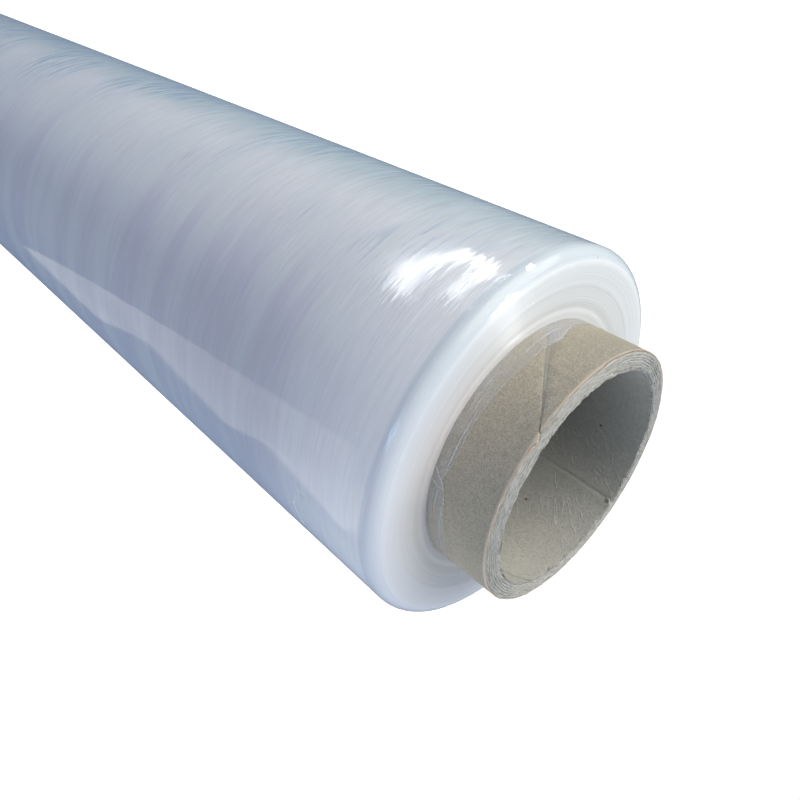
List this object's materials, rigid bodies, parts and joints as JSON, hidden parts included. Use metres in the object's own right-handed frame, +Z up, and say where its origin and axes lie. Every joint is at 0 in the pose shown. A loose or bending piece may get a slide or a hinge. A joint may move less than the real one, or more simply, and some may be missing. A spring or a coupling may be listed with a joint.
{
  "type": "stretch wrap roll",
  "caption": "Hand roll of clear stretch film wound on a spiral cardboard core that stands out at both ends.",
  "frame": {"origin": "on the roll's axis, at the cut end of the core that the roll stands on", "axes": "+Z up along the roll's axis, towards the end where the sleeve of first turns stands out; +X and +Y lie across it, with the film's free end 14 degrees round from +X towards +Y"},
  "size_m": [0.0889, 0.0887, 0.532],
  "materials": {
    "core_board": "matt recycled grey-brown board",
    "clear_film": "glossy wound film, whitish through its many turns"
  },
  "bodies": {
    "root": {"cardboard_core": "core_board", "stretch_film": "clear_film"}
  },
  "joints": []
}
